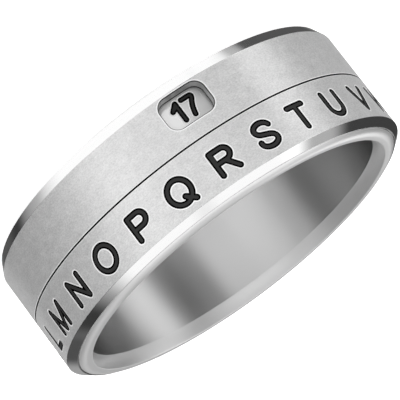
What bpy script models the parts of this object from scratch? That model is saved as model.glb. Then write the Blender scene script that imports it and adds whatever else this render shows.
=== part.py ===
"""Decoder ring: two outer bands that turn on one inner sleeve.

The ring lies on its back edge with its axis along +Z, so the letter side is on top. The sleeve has
a straight bore with a rounded lead-in at both ends, and a number track on its outside. The letter
band and the window band run on the track side by side, each with a counterbore at its outer end.
The sleeve's own front lip holds the letter band, and a collar pressed onto the sleeve's back end
holds the window band. The window faces -Y and shows one number of the track.
"""

import math

import bmesh
import bpy
from mathutils import Vector

MM = 0.001

# Radial sizes, from the finger outwards
BORE_RADIUS = 10.3 * MM
SLEEVE_WALL = 0.75 * MM
RUNNING_CLEARANCE = 0.05 * MM
BAND_WALL = 0.9 * MM

# Lips that hold the bands: the part of a lip that lies in a band's counterbore is its rim
LIP_CATCH = 0.31 * MM
LIP_CLEARANCE = 0.06 * MM
LIP_RIM_DEPTH = 0.5 * MM
LIP_RISE = 0.23 * MM
AXIAL_CLEARANCE = 0.04 * MM

# Lead-ins: from a crease the bore opens towards both ends, in a taper that swells a little
LEAD_IN_LENGTH = 0.84 * MM
LEAD_IN_FLARE = 0.3 * MM
LEAD_IN_SWELL = 0.02 * MM

# Collar seat on the back end of the sleeve
COLLAR_SEAT_STEP = 0.2 * MM
PRESS_GAP = 0.02 * MM

# Bands, along the axis: the gap between them is the seam
SEAM_GAP = 0.08 * MM
SEAM_EDGE_BREAK = 0.06 * MM
LETTER_BAND_LENGTH = 3.58 * MM
LETTER_BEVEL_LENGTH = 0.4 * MM
LETTER_END_LAND = 0.04 * MM
WINDOW_BEVEL_LENGTH = 0.67 * MM
WINDOW_END_LAND = 0.21 * MM

# Window, with its distance to the seam and the web left beside the counterbore
WINDOW_WIDTH = 3.0 * MM
WINDOW_HEIGHT = 2.05 * MM
WINDOW_CORNER_RADIUS = 0.65 * MM
WINDOW_TO_SEAM = 1.0 * MM
WINDOW_WEB = 0.29 * MM
CUT_OVERRUN = 0.4 * MM

# Smoothness of turned and rounded forms
TURN_STEPS = 120
LEAD_IN_STEPS = 4
CROWN_STEPS = 4
CORNER_STEPS = 6
SHARP_ANGLE = math.radians(20)

# Radii that follow
SLEEVE_RADIUS = BORE_RADIUS + SLEEVE_WALL
SPIGOT_RADIUS = SLEEVE_RADIUS - COLLAR_SEAT_STEP
COLLAR_BORE_RADIUS = SPIGOT_RADIUS + PRESS_GAP
BAND_BORE_RADIUS = SLEEVE_RADIUS + RUNNING_CLEARANCE
OUTER_RADIUS = BAND_BORE_RADIUS + BAND_WALL
RIM_RADIUS = BAND_BORE_RADIUS + LIP_CATCH
CROWN_REACH = RIM_RADIUS - SPIGOT_RADIUS
COUNTERBORE_RADIUS = RIM_RADIUS + LIP_CLEARANCE
COUNTERBORE_DEPTH = LIP_RIM_DEPTH + AXIAL_CLEARANCE

# Heights that follow, from the back crest at zero
WINDOW_BAND_LENGTH = COUNTERBORE_DEPTH + WINDOW_WEB + WINDOW_HEIGHT + WINDOW_TO_SEAM
WINDOW_BAND_BACK = LIP_RISE
WINDOW_BAND_FRONT = WINDOW_BAND_BACK + WINDOW_BAND_LENGTH
WINDOW_CENTRE_HEIGHT = WINDOW_BAND_FRONT - WINDOW_TO_SEAM - WINDOW_HEIGHT / 2
LETTER_BAND_BACK = WINDOW_BAND_FRONT + SEAM_GAP
LETTER_BAND_FRONT = LETTER_BAND_BACK + LETTER_BAND_LENGTH
COLLAR_SEAT_HEIGHT = LIP_RISE + LIP_RIM_DEPTH
LIP_UNDERSIDE = LETTER_BAND_FRONT - LIP_RIM_DEPTH
RING_WIDTH = LETTER_BAND_FRONT + LIP_RISE

# Finishes: colour, roughness, metallic
SATIN_STEEL = ("satin_stainless", (0.62, 0.62, 0.61), 0.38, 1.0)
POLISHED_STEEL = ("polished_stainless", (0.68, 0.68, 0.67), 0.12, 1.0)


def clear_scene():
    """Remove whatever the file holds."""
    for old in list(bpy.data.objects):
        bpy.data.objects.remove(old, do_unlink=True)


def finish(name, colour, roughness, metallic):
    """Return a material with one Principled shader."""
    material = bpy.data.materials.new(name)
    material.use_nodes = True
    shader = material.node_tree.nodes["Principled BSDF"]
    shader.inputs["Base Color"].default_value = (*colour, 1.0)
    shader.inputs["Roughness"].default_value = roughness
    shader.inputs["Metallic"].default_value = metallic
    return material


def arc_radius(run, rise):
    """Radius of an arc that starts tangent to its run and ends a rise away from it."""
    return (run * run + rise * rise) / (2 * abs(rise))


def tangent_arc(start, run, rise, steps):
    """Points of an arc that sets off along its run and ends a rise to the side of it.

    start is a pair: place along the run, place across it. run and rise may be negative. The start
    itself is left out.
    """
    radius = arc_radius(run, rise)
    sweep = math.atan2(abs(run), radius - abs(rise))
    points = []
    for step in range(1, steps + 1):
        angle = sweep * step / steps
        along = math.copysign(radius * math.sin(angle), run)
        across = math.copysign(radius * (1 - math.cos(angle)), rise)
        points.append((start[0] + along, start[1] + across))
    return points


def swelling_arc(start, end, swell, steps):
    """Points of an arc from start to end, as pairs. The start itself is left out.

    The middle of the arc lies a swell to the left of the straight way there, or to the right of it
    where swell is negative.
    """
    way = (end[0] - start[0], end[1] - start[1])
    chord = math.hypot(*way)
    radius = (chord * chord / 4 + swell * swell) / (2 * abs(swell))
    half_sweep = math.asin(chord / (2 * radius))
    points = []
    for step in range(1, steps + 1):
        angle = half_sweep * (2 * step / steps - 1)
        share = radius * math.sin(angle) / chord + 1 / 2
        aside = math.copysign(radius * math.cos(angle) - radius + abs(swell), swell) / chord
        across = start[0] + way[0] * share - way[1] * aside
        up = start[1] + way[1] * share + way[0] * aside
        points.append((across, up))
    return points


def lead_in(crest_height, direction):
    """Lead-in from the straight bore to a crest, as (radius, height) pairs.

    direction is 1 towards a crest on top and -1 towards one below.
    """
    bore_end = (BORE_RADIUS, crest_height - direction * LEAD_IN_LENGTH)
    crest = (BORE_RADIUS + LEAD_IN_FLARE, crest_height)
    return [bore_end] + swelling_arc(bore_end, crest, direction * LEAD_IN_SWELL, LEAD_IN_STEPS)


def crown(crest_height, direction):
    """Rounded end of a lip, from the outer edge of the flat crest to the rim."""
    crest_edge = (SPIGOT_RADIUS, crest_height)
    return tangent_arc(crest_edge, CROWN_REACH, -direction * LIP_RISE, CROWN_STEPS)


def back_crown_height(radius):
    """Height of the back lip's crown at a radius outside the crest."""
    curve = arc_radius(CROWN_REACH, LIP_RISE)
    out = radius - SPIGOT_RADIUS
    return curve - math.sqrt(curve * curve - out * out)


def turned(name, profile, material):
    """Spin a closed profile of (radius, height) pairs once round the Z axis."""
    mesh = bpy.data.meshes.new(name)
    shape = bmesh.new()
    corners = [shape.verts.new((radius, 0, height)) for radius, height in profile]
    edges = [shape.edges.new((a, b)) for a, b in zip(corners, corners[1:] + corners[:1])]
    bmesh.ops.spin(
        shape,
        geom=corners + edges,
        cent=(0, 0, 0),
        axis=(0, 0, 1),
        angle=math.tau,
        steps=TURN_STEPS,
        use_merge=True,
    )
    bmesh.ops.recalc_face_normals(shape, faces=shape.faces)
    shape.to_mesh(mesh)
    shape.free()
    mesh.shade_smooth()
    mesh.set_sharp_from_angle(angle=SHARP_ANGLE)
    mesh.materials.append(material)
    piece = bpy.data.objects.new(name, mesh)
    bpy.context.collection.objects.link(piece)
    return piece


def make_core_sleeve(material):
    """Inner sleeve: bore, number track, front lip and the spigot that takes the collar."""
    profile = list(reversed(lead_in(0, -1)))
    profile += lead_in(RING_WIDTH, 1)
    profile.append((SPIGOT_RADIUS, RING_WIDTH))
    profile += crown(RING_WIDTH, 1)
    profile.append((RIM_RADIUS, LIP_UNDERSIDE))
    profile.append((SLEEVE_RADIUS, LIP_UNDERSIDE))
    profile.append((SLEEVE_RADIUS, COLLAR_SEAT_HEIGHT))
    profile.append((SPIGOT_RADIUS, COLLAR_SEAT_HEIGHT))
    profile.append((SPIGOT_RADIUS, 0))
    return turned("core_sleeve", profile, material)


def make_retaining_collar(material):
    """Back collar: pressed on the spigot, seated on its step, crowned like the front lip."""
    front = COLLAR_SEAT_HEIGHT - PRESS_GAP
    profile = [(COLLAR_BORE_RADIUS, front)]
    profile.append((COLLAR_BORE_RADIUS, back_crown_height(COLLAR_BORE_RADIUS)))
    profile += [corner for corner in crown(0, -1) if corner[0] > COLLAR_BORE_RADIUS]
    profile.append((RIM_RADIUS, front))
    return turned("retaining_collar", profile, material)


def band_profile(seam_height, end_height, bevel_length, end_land):
    """Half section of a band: seam end, bore, counterbore at the outer end, and bevel."""
    outward = math.copysign(1, end_height - seam_height)
    shoulder = end_height - outward * COUNTERBORE_DEPTH
    return [
        (BAND_BORE_RADIUS, seam_height),
        (OUTER_RADIUS - SEAM_EDGE_BREAK, seam_height),
        (OUTER_RADIUS, seam_height + outward * SEAM_EDGE_BREAK),
        (OUTER_RADIUS, end_height - outward * bevel_length),
        (COUNTERBORE_RADIUS + end_land, end_height),
        (COUNTERBORE_RADIUS, end_height),
        (COUNTERBORE_RADIUS, shoulder),
        (BAND_BORE_RADIUS, shoulder),
    ]


def make_letter_band(material):
    """Front outer band, plain on the outside where the alphabet is engraved."""
    profile = band_profile(LETTER_BAND_BACK, LETTER_BAND_FRONT, LETTER_BEVEL_LENGTH, LETTER_END_LAND)
    return turned("letter_band", profile, material)


def rounded_rectangle(width, height, radius):
    """Outline of a rectangle with round corners, centred, as (across, up) pairs."""
    outline = []
    for quarter, (side, level) in enumerate(((1, 1), (-1, 1), (-1, -1), (1, -1))):
        centre = (side * (width / 2 - radius), level * (height / 2 - radius))
        for step in range(CORNER_STEPS + 1):
            angle = (quarter + step / CORNER_STEPS) * math.pi / 2
            outline.append((centre[0] + radius * math.cos(angle), centre[1] + radius * math.sin(angle)))
    return outline


def make_window_cutter():
    """Straight-sided plug in the window's outline, from inside the track to outside the band."""
    half_width = WINDOW_WIDTH / 2
    inner = math.sqrt(BAND_BORE_RADIUS**2 - half_width**2) - CUT_OVERRUN
    depth = OUTER_RADIUS + CUT_OVERRUN - inner
    mesh = bpy.data.meshes.new("window_cutter")
    shape = bmesh.new()
    outline = rounded_rectangle(WINDOW_WIDTH, WINDOW_HEIGHT, WINDOW_CORNER_RADIUS)
    corners = [shape.verts.new((across, -inner, WINDOW_CENTRE_HEIGHT + up)) for across, up in outline]
    face = shape.faces.new(corners)
    grown = bmesh.ops.extrude_face_region(shape, geom=[face])
    moved = [item for item in grown["geom"] if isinstance(item, bmesh.types.BMVert)]
    bmesh.ops.translate(shape, verts=moved, vec=Vector((0, -depth, 0)))
    bmesh.ops.recalc_face_normals(shape, faces=shape.faces)
    shape.to_mesh(mesh)
    shape.free()
    cutter = bpy.data.objects.new("window_cutter", mesh)
    bpy.context.collection.objects.link(cutter)
    cutter.hide_render = True
    cutter.display_type = "WIRE"
    return cutter


def make_window_band(material):
    """Back outer band, with the window cut straight through its wall."""
    profile = band_profile(WINDOW_BAND_FRONT, WINDOW_BAND_BACK, WINDOW_BEVEL_LENGTH, WINDOW_END_LAND)
    band = turned("window_band", profile, material)
    cut = band.modifiers.new("window", "BOOLEAN")
    cut.operation = "DIFFERENCE"
    cut.solver = "EXACT"
    cut.object = make_window_cutter()
    return band


def main():
    """Build the four pieces."""
    clear_scene()
    satin = finish(*SATIN_STEEL)
    polished = finish(*POLISHED_STEEL)
    make_core_sleeve(polished)
    make_retaining_collar(polished)
    make_letter_band(satin)
    make_window_band(satin)


main()
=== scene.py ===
"""Decoder ring in a small photo studio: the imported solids, dressed with turned and engraved pieces.

The ring lies on its back edge with its axis along +Z, so the letter side is on top and the window
faces -Y. All sizes are in millimetres until they reach a mesh, which is in metres. The camera looks
along the ring from its window side and is rolled, so the letters read the right way up.
"""

import logging
import math
from collections.abc import Callable, Iterable, Sequence
from dataclasses import dataclass, field
from enum import Enum, IntEnum

import bmesh
import bpy
import numpy as np
from bpy.types import Node, NodeTree
from bpy.types import NodeSocket as Socket
from mathutils import Euler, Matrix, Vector
from mathutils.geometry import delaunay_2d_cdt


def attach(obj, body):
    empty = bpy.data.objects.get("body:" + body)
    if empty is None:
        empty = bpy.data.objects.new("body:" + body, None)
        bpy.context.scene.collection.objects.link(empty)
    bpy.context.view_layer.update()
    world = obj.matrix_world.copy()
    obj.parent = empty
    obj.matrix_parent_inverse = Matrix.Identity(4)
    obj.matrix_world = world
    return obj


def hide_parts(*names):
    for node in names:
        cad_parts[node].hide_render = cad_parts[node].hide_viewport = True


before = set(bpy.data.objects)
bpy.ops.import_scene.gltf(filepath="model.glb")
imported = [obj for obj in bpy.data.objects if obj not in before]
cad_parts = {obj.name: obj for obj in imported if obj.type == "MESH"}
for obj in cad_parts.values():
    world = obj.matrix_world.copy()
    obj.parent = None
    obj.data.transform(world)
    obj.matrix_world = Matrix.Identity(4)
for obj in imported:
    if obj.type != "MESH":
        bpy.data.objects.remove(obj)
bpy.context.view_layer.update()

Pair = tuple[float, float]
Path = list[Pair]
Triangle = tuple[int, int, int]
Feed = Socket | float | str | tuple

MM = 0.001
SHARP_ANGLE = math.radians(35)
MERGE_DISTANCE = 1e-7
# Closer than this, in millimetres or in a character's heights, two places are the same
NEAR = 1e-4

log = logging.getLogger("decoder_ring")


# Sizes


@dataclass(frozen=True)
class RingSizes:
    """Sizes of the ring in millimetres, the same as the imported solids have."""

    bore_radius: float = 10.3
    sleeve_radius: float = 11.05
    spigot_radius: float = 10.85
    collar_bore_radius: float = 10.87
    band_bore_radius: float = 11.10
    rim_radius: float = 11.41
    counterbore_radius: float = 11.47
    outer_radius: float = 12.0
    lead_in_length: float = 0.84
    lead_in_flare: float = 0.3
    lead_in_swell: float = 0.02
    lip_rise: float = 0.23
    collar_front: float = 0.71
    collar_seat: float = 0.73
    window_band_back: float = 0.23
    window_band_front: float = 4.11
    letter_band_back: float = 4.19
    letter_band_front: float = 7.77
    lip_underside: float = 7.27
    ring_width: float = 8.0
    counterbore_depth: float = 0.54
    letter_bevel_length: float = 0.4
    letter_end_land: float = 0.04
    window_bevel_length: float = 0.67
    window_end_land: float = 0.21
    window_width: float = 3.0
    window_height: float = 2.05
    window_corner: float = 0.65
    window_centre: float = 2.085


SIZES = RingSizes()
PLACES = 26
PLACE_STEPS = 12
TURN_STEPS = PLACES * PLACE_STEPS
WINDOW_AZIMUTH = math.radians(-90)
WINDOW_NUMBER = 17


def azimuth_of(place: int) -> float:
    """Azimuth of one of the places for a letter or number, where 17 stands in the window."""
    return WINDOW_AZIMUTH - (place - WINDOW_NUMBER) * math.tau / PLACES


# Turned outlines


class Side(IntEnum):
    """Which of a piece's finishes a surface has."""

    MAIN = 0
    SECOND = 1
    # Painted highlight, for bright edges
    BURNISHED = 2
    # Painted shade, for faces in gaps and recesses
    OILED = 3
    THIRD = 4


@dataclass(frozen=True)
class Turn:
    """A corner of a turned outline, and the finish of the surface that follows it.

    Args:
        radius: distance from the ring's axis, in millimetres.
        height: distance above the back crest, in millimetres.
        side: finish of the surface from here to the next corner.
        ease: radius of the rounding put on this corner.
        crease: whether the corner stays crisp even where it is blunt.
        eased_side: finish of the far half of that rounding, where it isn't the side's. The near
            half then has the finish of the surface before the corner.
    """

    radius: float
    height: float
    side: Side = Side.MAIN
    ease: float = 0.0
    crease: bool = False
    eased_side: Side | None = None

    @property
    def place(self) -> np.ndarray:
        """The corner as an array of radius and height."""
        return np.array([self.radius, self.height])


def swelling_arc(start: Pair, end: Pair, swell: float, steps: int) -> Path:
    """Points of an arc whose middle lies a swell to the side of the straight way.

    Args:
        start: where the arc starts.
        end: where it ends.
        swell: how far the middle lies to the left of the way, or to the right where negative.
        steps: number of points.

    Returns:
        The points after the start.
    """
    way = (end[0] - start[0], end[1] - start[1])
    chord = math.hypot(*way)
    radius = (chord * chord / 4 + swell * swell) / (2 * abs(swell))
    half_sweep = math.asin(chord / (2 * radius))
    points = []
    for step in range(1, steps + 1):
        angle = half_sweep * (2 * step / steps - 1)
        share = radius * math.sin(angle) / chord + 0.5
        aside = math.copysign(radius * math.cos(angle) - radius + abs(swell), swell) / chord
        along = start[0] + way[0] * share - way[1] * aside
        across = start[1] + way[1] * share + way[0] * aside
        points.append((along, across))
    return points


def crown(start: Pair, run: float, rise: float, steps: int) -> tuple[Path, float]:
    """An arc that sets off square to the axis and ends a rise further up or down.

    Args:
        start: radius and height where it starts.
        run: how far it goes outward.
        rise: how far it ends above its start, or below it where negative.
        steps: number of points.

    Returns:
        The points after the start, and the arc's radius.
    """
    chord = math.hypot(run, rise)
    radius = chord * chord / (2 * abs(rise))
    swell = radius - math.sqrt(radius * radius - chord * chord / 4)
    end = (start[0] + run, start[1] + rise)
    return swelling_arc(start, end, math.copysign(swell, -rise), steps), radius


def eased(outline: Sequence[Turn], steps: int = 4) -> list[Turn]:
    """Round the corners that ask for it.

    Args:
        outline: corners of a closed outline.
        steps: number of facets in each rounding.

    Returns:
        The outline with each eased corner replaced by the points of an arc.
    """
    result = []
    count = len(outline)
    for index, turn in enumerate(outline):
        if not turn.ease:
            result.append(turn)
            continue
        corner = turn.place
        back = outline[index - 1].place - corner
        ahead = outline[(index + 1) % count].place - corner
        back /= np.linalg.norm(back)
        ahead /= np.linalg.norm(ahead)
        half = math.acos(float(np.clip(back @ ahead, -1, 1))) / 2
        centre_way = (back + ahead) / np.linalg.norm(back + ahead)
        centre = corner + centre_way * turn.ease / math.sin(half)
        start = corner + back * turn.ease / math.tan(half) - centre
        end = corner + ahead * turn.ease / math.tan(half) - centre
        swing = math.pi - 2 * half
        for step in range(steps + 1):
            share = step / steps
            arm = start * math.sin((1 - share) * swing) + end * math.sin(share * swing)
            place = centre + arm / math.sin(swing)
            side = turn.side
            if turn.eased_side is not None and step < steps:
                side = turn.eased_side if 2 * step >= steps else outline[index - 1].side
            result.append(Turn(float(place[0]), float(place[1]), side))
    return result


def outline_normals(outline: Sequence[Turn]) -> list[tuple[np.ndarray, np.ndarray]]:
    """Normals at both ends of each stretch of an outline, smooth where it bends gently.

    Args:
        outline: corners of a closed outline.

    Returns:
        For each stretch, its normal at its first corner and at its second, as radius and height.
    """
    places = np.array([turn.place for turn in outline])
    along = np.roll(places, -1, axis=0) - places
    lengths = np.linalg.norm(along, axis=1)
    flat = np.stack([along[:, 1], -along[:, 0]], axis=1) / lengths[:, None]
    count = len(outline)
    at_corner = []
    for index in range(count):
        before, after = flat[index - 1], flat[index]
        if outline[index].crease or before @ after < math.cos(SHARP_ANGLE):
            at_corner.append((before, after))
            continue
        mixed = before * lengths[index - 1] + after * lengths[index]
        mixed /= np.linalg.norm(mixed)
        at_corner.append((mixed, mixed))
    return [(at_corner[i][1], at_corner[(i + 1) % count][0]) for i in range(count)]


# Engraved characters

ARC_STEP = 9
CURVE_STEPS = 10


def straight(x0: float, y0: float, x1: float, y1: float) -> Path:
    """A straight pass of the cutter."""
    return [(x0, y0), (x1, y1)]


def legs(*places: float) -> tuple[Path, ...]:
    """Straight passes from point to point, with the cutter lifted at each. x and y alternate."""
    points = list(zip(places[::2], places[1::2]))
    return tuple([start, end] for start, end in zip(points, points[1:]))


def arc(x: float, y: float, across: float, up: float, start: float, end: float) -> Path:
    """An elliptical pass about (x, y), from one angle in degrees to another.

    Args:
        x: middle across.
        y: middle up.
        across: half the width.
        up: half the height.
        start: angle where it starts, from the right and counterclockwise.
        end: angle where it ends.

    Returns:
        The points of the pass.
    """
    steps = max(4, round(abs(end - start) / ARC_STEP))
    angles = [math.radians(start + (end - start) * step / steps) for step in range(steps + 1)]
    return [(x + across * math.cos(angle), y + up * math.sin(angle)) for angle in angles]


def curve(x0: float, y0: float, x1: float, y1: float, x2: float, y2: float) -> Path:
    """A pass from the first point to the last that bends towards the middle one.

    Args:
        x0: first point, across.
        y0: first point, up.
        x1: middle point, across.
        y1: middle point, up.
        x2: last point, across.
        y2: last point, up.

    Returns:
        The points of the pass.
    """
    ways = [step / CURVE_STEPS for step in range(CURVE_STEPS + 1)]
    shares = [((1 - t) ** 2, 2 * t * (1 - t), t * t) for t in ways]
    return [(a * x0 + b * x1 + c * x2, a * y0 + b * y1 + c * y2) for a, b, c in shares]


def joined(*paths: Path) -> Path:
    """One pass made of several that run on smoothly.

    Args:
        paths: the passes, in order.

    Returns:
        The points of the whole pass, each once.
    """
    whole: Path = []
    for path in paths:
        for point in path:
            if not whole or math.dist(point, whole[-1]) > NEAR:
                whole.append(point)
    return whole


def bowl(x: float, top: float, bottom: float, across: float) -> Path:
    """A pass that leaves the stem at its top, turns round at x and comes back at its bottom.

    Args:
        x: where the turn starts and ends.
        top: height of its upper leg.
        bottom: height of its lower leg.
        across: how far it turns out beyond x.

    Returns:
        The points of the pass.
    """
    turn = arc(x, (top + bottom) / 2, across, (top - bottom) / 2, 90, -90)
    return joined(straight(0, top, x, top), turn, straight(x, bottom, 0, bottom))


STEM = straight(0, 0, 0, 1)
ROUND = arc(0.475, 0.5, 0.475, 0.525, 0, 360)
SIX = (
    arc(0.3, 0.31, 0.3, 0.335, 0, 360),
    joined(arc(0.32, 0.5, 0.32, 0.52, 40, 180), straight(0, 0.5, 0, 0.31)),
)
# A six turned half round, inside the same box
NINE = tuple([(0.6 - x, 1 - y) for x, y in path] for path in SIX)

# Centre lines of the characters, with the baseline at 0 and the top at 1
CENTRE_LINES: dict[str, tuple[Path, ...]] = {
    "A": (*legs(0, 0, 0.45, 1, 0.9, 0), straight(0.15, 0.33, 0.75, 0.33)),
    "B": (STEM, bowl(0.38, 1, 0.52, 0.26), bowl(0.4, 0.52, 0, 0.31)),
    "C": (arc(0.46, 0.5, 0.46, 0.525, 42, 318),),
    "D": (STEM, bowl(0.32, 1, 0, 0.46)),
    "E": (STEM, straight(0, 1, 0.64, 1), straight(0, 0.53, 0.58, 0.53), straight(0, 0, 0.66, 0)),
    "F": (STEM, straight(0, 1, 0.62, 1), straight(0, 0.5, 0.54, 0.5)),
    "G": (arc(0.46, 0.5, 0.46, 0.525, 45, 335), *legs(0.88, 0.26, 0.88, 0.46, 0.54, 0.46)),
    "H": (STEM, straight(0.79, 0, 0.79, 1), straight(0, 0.53, 0.79, 0.53)),
    "I": (STEM,),
    "J": (joined(straight(0.5, 1, 0.5, 0.27), arc(0.25, 0.27, 0.25, 0.29, 0, -170)),),
    "K": (STEM, straight(0, 0.34, 0.72, 1), straight(0.26, 0.58, 0.78, 0)),
    "L": (STEM, straight(0, 0, 0.6, 0)),
    "M": legs(0, 0, 0, 1, 0.465, 0, 0.93, 1, 0.93, 0),
    "N": legs(0, 0, 0, 1, 0.8, 0, 0.8, 1),
    "O": (ROUND,),
    "P": (STEM, bowl(0.43, 1, 0.44, 0.28)),
    "Q": (ROUND, straight(0.57, 0.23, 0.9, -0.07)),
    "R": (STEM, bowl(0.49, 1, 0.49, 0.265), straight(0.42, 0.49, 0.79, 0)),
    "S": (joined(arc(0.378, 0.775, 0.36, 0.25, 14, 246), arc(0.378, 0.225, 0.378, 0.25, 66, -188)),),
    "T": (straight(0, 1, 0.76, 1), straight(0.38, 1, 0.38, 0)),
    "U": (joined([(0, 1), (0, 0.39)], arc(0.39, 0.39, 0.39, 0.41, 180, 360), [(0.78, 0.39), (0.78, 1)]),),
    "V": legs(0, 1, 0.45, 0, 0.9, 1),
    "W": legs(0, 1, 0.3, 0, 0.62, 1, 0.94, 0, 1.24, 1),
    "X": (straight(0, 0, 0.82, 1), straight(0, 1, 0.82, 0)),
    "Y": (straight(0, 1, 0.42, 0.44), *legs(0.84, 1, 0.42, 0.44, 0.42, 0)),
    "Z": legs(0.02, 1, 0.74, 1, 0, 0, 0.77, 0),
    "0": (arc(0.3, 0.5, 0.3, 0.52, 0, 360),),
    "1": (straight(0, 0.7, 0.31, 1), straight(0, 0.7, 0.31, 0.84), straight(0.31, 1, 0.31, 0)),
    "2": (joined(arc(0.3, 0.7, 0.3, 0.32, 168, -38), straight(0.536, 0.503, 0, 0)), straight(0, 0, 0.6, 0)),
    "3": (arc(0.28, 0.76, 0.27, 0.26, 160, -90), arc(0.28, 0.24, 0.32, 0.26, 90, -165)),
    "4": legs(0.48, 0, 0.48, 1, 0, 0.3, 0.66, 0.3),
    "5": (straight(0.1, 1, 0.56, 1), straight(0.1, 1, 0.03, 0.5), arc(0.29, 0.31, 0.31, 0.33, 145, -160)),
    "6": SIX,
    "7": (
        joined(
            straight(0, 1, 0.47, 1),
            curve(0.47, 1, 0.62, 1, 0.52, 0.8),
            curve(0.52, 0.8, 0.27, 0.45, 0.2, 0),
        ),
    ),
    "8": (arc(0.3, 0.76, 0.25, 0.26, 0, 360), arc(0.3, 0.24, 0.3, 0.26, 0, 360)),
    "9": NINE,
}


@dataclass(frozen=True)
class Engraver:
    """The round cutter that engraves the characters, and the size they are cut at.

    Args:
        cap_height: height of a character over its whole groove, in millimetres.
        stroke: width of the groove.
        gap: metal left between the characters of a number.
        rim: width of the edge along the groove, which carries a painted highlight.
        rim_drop: how far that edge falls towards the groove.
        shade: width of the steep flank at the foot of which the fill begins to level.
        depth: depth of the groove.
    """

    cap_height: float
    stroke: float
    gap: float = 0.08
    rim: float = 0.07
    rim_drop: float = 0.015
    shade: float = 0.1
    depth: float = 0.1

    def passes(self, text: str) -> list[np.ndarray]:
        """Centre lines of a text in millimetres, centred on its own box.

        Args:
            text: the characters to cut, side by side.

        Returns:
            One array of points for each pass of the cutter.
        """
        scale = self.cap_height - self.stroke
        start = 0.0
        passes = []
        for character in text:
            lines = [np.array(line) * scale for line in CENTRE_LINES[character]]
            left = min(line[:, 0].min() for line in lines)
            right = max(line[:, 0].max() for line in lines)
            passes += [line + (start - left, -scale / 2) for line in lines]
            start += right - left + self.gap + self.stroke
        middle = (start - self.gap - self.stroke) / 2
        return [line - (middle, 0) for line in passes]


def loops_round(line: np.ndarray, half: float, cap_steps: int = 10) -> list[np.ndarray]:
    """Outline of one pass of a round cutter.

    Args:
        line: centre line of the pass.
        half: half the width of the cut.
        cap_steps: number of facets in each round end.

    Returns:
        One closed loop of points, or two where the pass closes on itself.
    """
    closed = np.allclose(line[0], line[-1])
    points = line[:-1] if closed else line
    if closed:
        ahead = np.roll(points, -1, axis=0) - np.roll(points, 1, axis=0)
    else:
        ahead = np.gradient(points, axis=0)
    ahead /= np.linalg.norm(ahead, axis=1)[:, None]
    side = np.stack([-ahead[:, 1], ahead[:, 0]], axis=1) * half
    if closed:
        return [points + side, points - side]
    turns = np.linspace(0, math.pi, cap_steps + 1)[1:-1, None]
    end_cap = points[-1] + np.cos(turns) * side[-1] + np.sin(turns) * ahead[-1] * half
    start_cap = points[0] - np.cos(turns) * side[0] - np.sin(turns) * ahead[0] * half
    return [np.concatenate([points + side, end_cap, (points - side)[::-1], start_cap])]


def distance_to(lines: Sequence[np.ndarray], points: np.ndarray) -> np.ndarray:
    """Distance from each point to the nearest of some polylines.

    Args:
        lines: the polylines.
        points: the points.

    Returns:
        One distance for each point.
    """
    starts = np.concatenate([line[:-1] for line in lines])
    ways = np.concatenate([np.diff(line, axis=0) for line in lines])
    away = points[:, None, :] - starts[None]
    share = np.clip((away * ways).sum(-1) / (ways * ways).sum(-1), 0, 1)
    return np.linalg.norm(away - share[..., None] * ways, axis=-1).min(axis=1)


@dataclass
class Drawing:
    """Points and edges of a flat drawing, gathered before it is filled with triangles.

    Args:
        points: the points.
        edges: the edges, as pairs of the points' numbers.
    """

    points: list[Pair] = field(default_factory=list)
    edges: list[tuple[int, int]] = field(default_factory=list)

    def add_loop(self, loop: Iterable[Sequence[float]]) -> None:
        """Add a closed loop.

        Args:
            loop: its corners.
        """
        first = len(self.points)
        self.points += [(float(x), float(y)) for x, y in loop]
        count = len(self.points) - first
        self.edges += [(first + i, first + (i + 1) % count) for i in range(count)]

    def add_edge(self, start: Sequence[float], end: Sequence[float]) -> None:
        """Add one edge.

        Args:
            start: where it starts.
            end: where it ends.
        """
        first = len(self.points)
        self.points += [(float(start[0]), float(start[1])), (float(end[0]), float(end[1]))]
        self.edges.append((first, first + 1))

    def solved(self) -> tuple[np.ndarray, list[tuple[int, int]], list[Triangle]]:
        """Cross the edges and fill the drawing.

        Returns:
            The points, those edges that lie on the drawing's own, and the triangles.
        """
        epsilon = 2e-4
        points, edges, faces, _, origins, _ = delaunay_2d_cdt(
            [Vector(point) for point in self.points], self.edges, [], 0, epsilon
        )
        own = [edge for edge, origin in zip(edges, origins) if origin]
        return np.array([tuple(point) for point in points]), own, [tuple(face) for face in faces]


def merged_outline(lines: Sequence[np.ndarray], half: float) -> list[tuple[np.ndarray, np.ndarray]]:
    """Edges of the outline that several crossing passes leave together.

    Args:
        lines: centre lines of the passes.
        half: half the width of the cut.

    Returns:
        The outline as separate edges, each a pair of points.
    """
    drawing = Drawing()
    for line in lines:
        for loop in loops_round(line, half):
            drawing.add_loop(loop)
    points, edges, _ = drawing.solved()
    middles = np.array([(points[a] + points[b]) / 2 for a, b in edges])
    tolerance = 0.008
    on_edge = abs(distance_to(lines, middles) - half) < tolerance
    return [(points[a], points[b]) for (a, b), keep in zip(edges, on_edge) if keep]


# Finishes


def linear(colour: str) -> tuple[float, float, float, float]:
    """Linear RGBA of an sRGB hex colour such as "c8c8c6".

    Args:
        colour: the hex colour.

    Returns:
        Red, green, blue and an alpha of 1.
    """
    channels = [int(colour[i : i + 2], 16) / 255 for i in (0, 2, 4)]
    values = [c / 12.92 if c <= 0.04045 else ((c + 0.055) / 1.055) ** 2.4 for c in channels]
    return (values[0], values[1], values[2], 1.0)


def set_inputs(node: Node, *values: Feed, **named: Feed) -> None:
    """Give inputs of a node a constant, or the socket that feeds them.

    Args:
        node: the node.
        values: what its first inputs get, in order.
        named: what other inputs get, by name, with underscores for spaces.
    """
    wanted = dict(enumerate(values)) | {name.replace("_", " "): value for name, value in named.items()}
    for key, value in wanted.items():
        if isinstance(value, bpy.types.NodeSocket):
            node.id_data.links.new(value, node.inputs[key])
        else:
            node.inputs[key].default_value = value


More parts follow.
